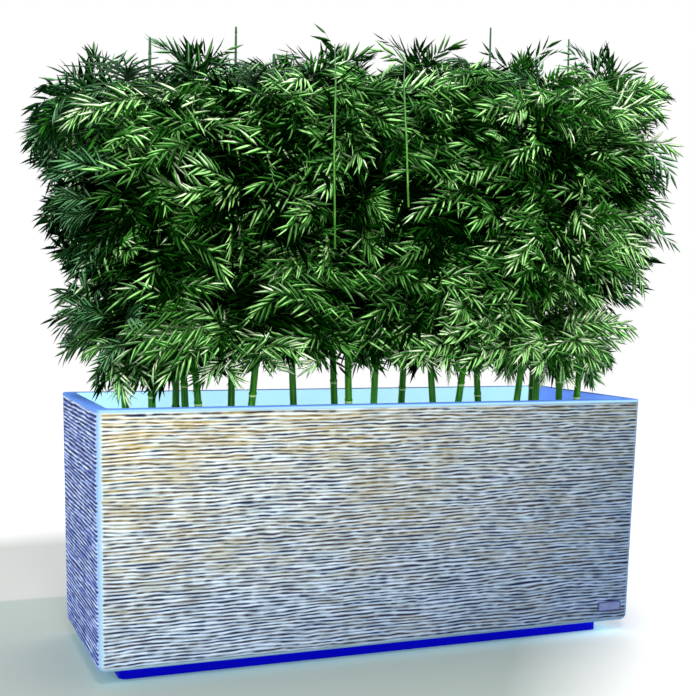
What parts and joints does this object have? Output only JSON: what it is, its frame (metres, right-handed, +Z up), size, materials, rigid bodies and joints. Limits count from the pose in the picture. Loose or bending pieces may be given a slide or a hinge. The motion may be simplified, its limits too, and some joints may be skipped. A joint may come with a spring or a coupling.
{
  "type": "potted bamboo",
  "caption": "Hedge of bamboo culms with a dense crown of narrow leaves, planted in a long tapering rectangular trough with a recessed plinth.",
  "frame": {"origin": "centre of the plinth's underside, on the surface that the trough stands on", "axes": "+X along the trough, to the right as seen from its front; -Y out of the front, the side with the small plate; +Z up"},
  "size_m": [1.3306, 0.5726, 1.3091],
  "materials": {
    "trough_shell": "matt moulded shell with a horizontal wavy cord relief, pale blue with sandy patches, smooth at the rim and the corners",
    "trough_plinth": "smooth, saturated deep blue",
    "potting_soil": "dark crumbly potting soil",
    "bare_plate": "smooth, with no words on it",
    "culm_skin": "smooth green bamboo skin, paler at the rings",
    "leaf_blade": "satin narrow green leaves, nearly black in the depth of the crown"
  },
  "bodies": {
    "root": {"back_high_1": "leaf_blade", "back_high_2": "leaf_blade", "back_high_3": "leaf_blade", "back_high_4": "leaf_blade", "back_high_5": "leaf_blade", "back_high_left": "leaf_blade", "back_high_right": "leaf_blade", "back_low_1": "leaf_blade", "back_low_2": "leaf_blade", "back_low_3": "leaf_blade", "back_low_4": "leaf_blade", "back_low_left": "leaf_blade", "back_low_right": "leaf_blade", "back_top_1": "leaf_blade", "back_top_2": "leaf_blade", "back_top_3": "leaf_blade", "back_top_4": "leaf_blade", "back_top_5": "leaf_blade", "culm_01": "culm_skin", "culm_02": "culm_skin", "culm_03": "culm_skin", "culm_04": "culm_skin", "culm_05": "culm_skin", "culm_06": "culm_skin", "culm_07": "culm_skin", "culm_08": "culm_skin", "culm_09": "culm_skin", "culm_10": "culm_skin", "culm_11": "culm_skin", "culm_12": "culm_skin", "culm_13": "culm_skin", "culm_14": "culm_skin", "culm_15": "culm_skin", "culm_16": "culm_skin", "culm_17": "culm_skin", "culm_18": "culm_skin", "culm_19": "culm_skin", "culm_20": "culm_skin", "front_high_1": "leaf_blade", "front_high_2": "leaf_blade", "front_high_3": "leaf_blade", "front_high_4": "leaf_blade", "front_high_5": "leaf_blade", "front_high_left": "leaf_blade", "front_high_right": "leaf_blade", "front_low_1": "leaf_blade", "front_low_2": "leaf_blade", "front_low_3": "leaf_blade", "front_low_4": "leaf_blade", "front_low_left": "leaf_blade", "front_low_right": "leaf_blade", "front_top_1": "leaf_blade", "front_top_2": "leaf_blade", "front_top_3": "leaf_blade", "front_top_4": "leaf_blade", "front_top_5": "leaf_blade", "plate": "bare_plate", "plinth": "trough_plinth", "soil": "potting_soil", "trough": "trough_shell"}
  },
  "joints": []
}
